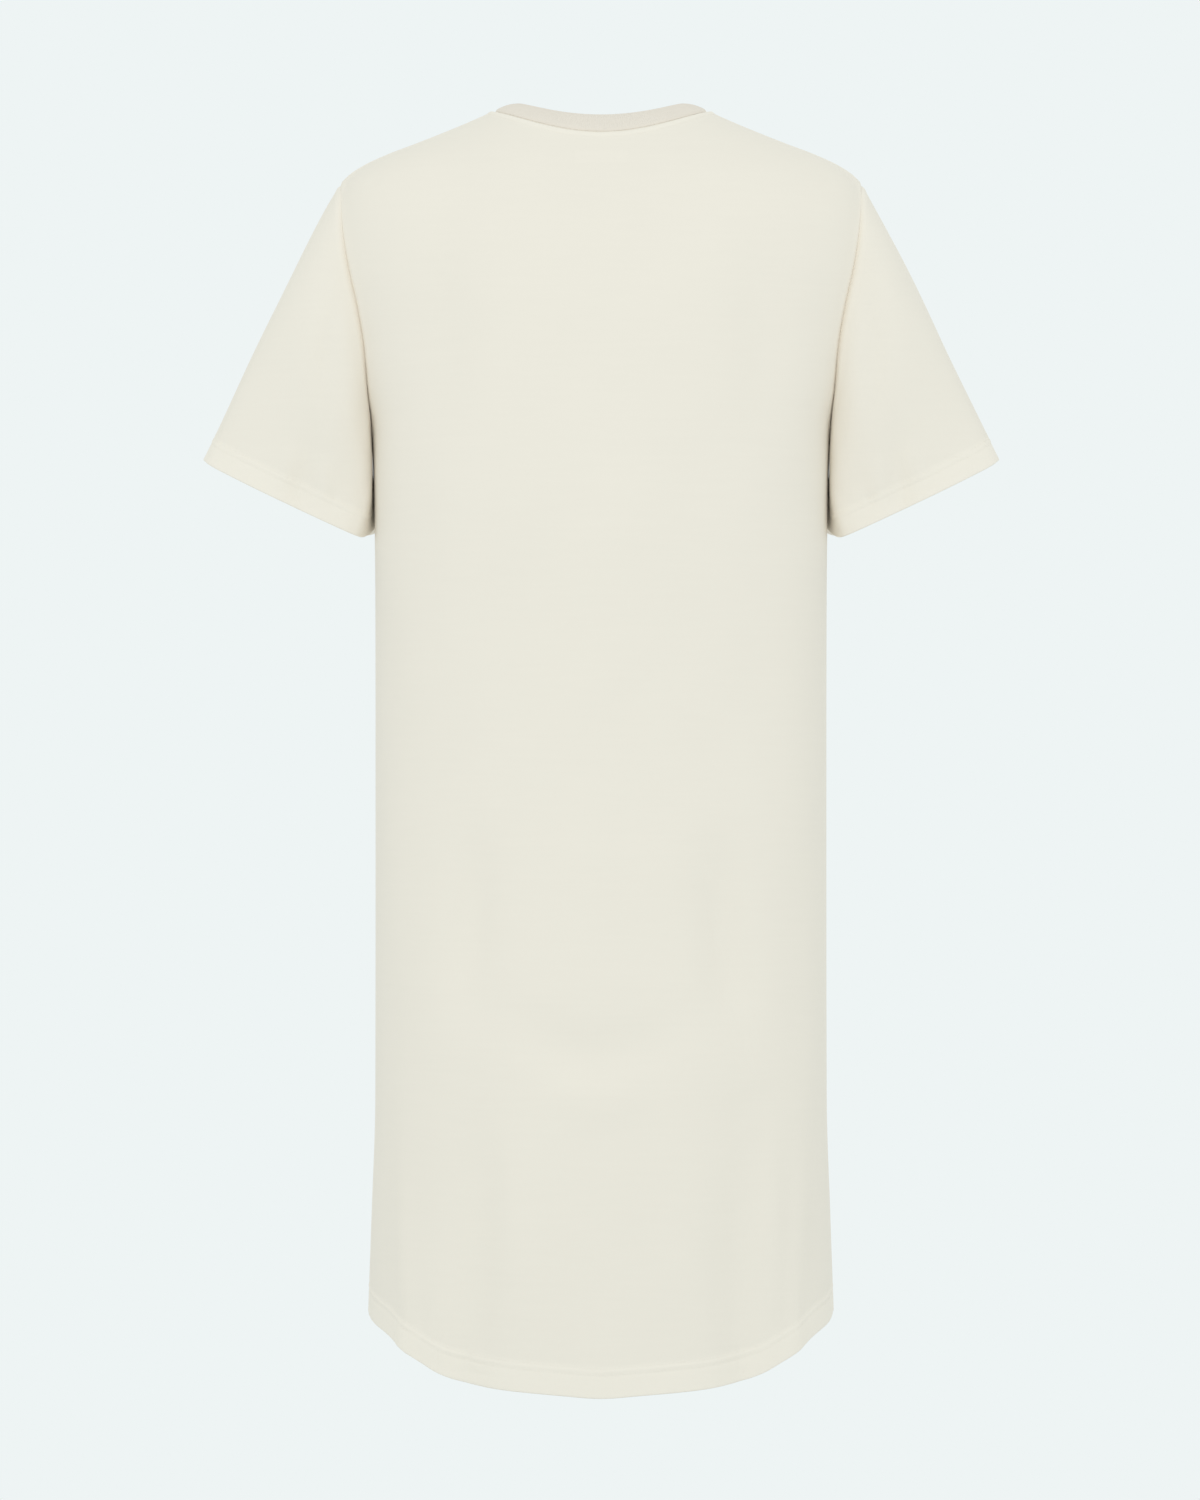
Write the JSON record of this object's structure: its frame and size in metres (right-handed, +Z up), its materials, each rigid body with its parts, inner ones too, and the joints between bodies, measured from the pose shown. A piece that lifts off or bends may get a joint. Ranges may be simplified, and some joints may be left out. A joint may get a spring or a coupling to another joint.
{
  "type": "t-shirt dress",
  "caption": "Straight jersey t-shirt dress with ribbed crew neck, short set-in sleeves and a rounded hem, hollow, filled out as worn.",
  "frame": {"origin": "middle of the neck opening, level with the neck ends of the shoulder seams, where the wearer's shoulders hold the dress", "axes": "+Z up along the dress, -Y out of the front, +X to the wearer's left"},
  "size_m": [0.6144, 0.249, 0.9861],
  "materials": {
    "jersey": "matt off-white cotton single jersey",
    "rib_knit": "matt off-white cotton rib, one by one",
    "label_tape": "smooth white satin tape, blank"
  },
  "bodies": {
    "root": {"back": "jersey", "front": "jersey", "sleeve_left": "jersey", "sleeve_right": "jersey", "neck_rib": "rib_knit", "neck_label": "label_tape"}
  },
  "joints": []
}
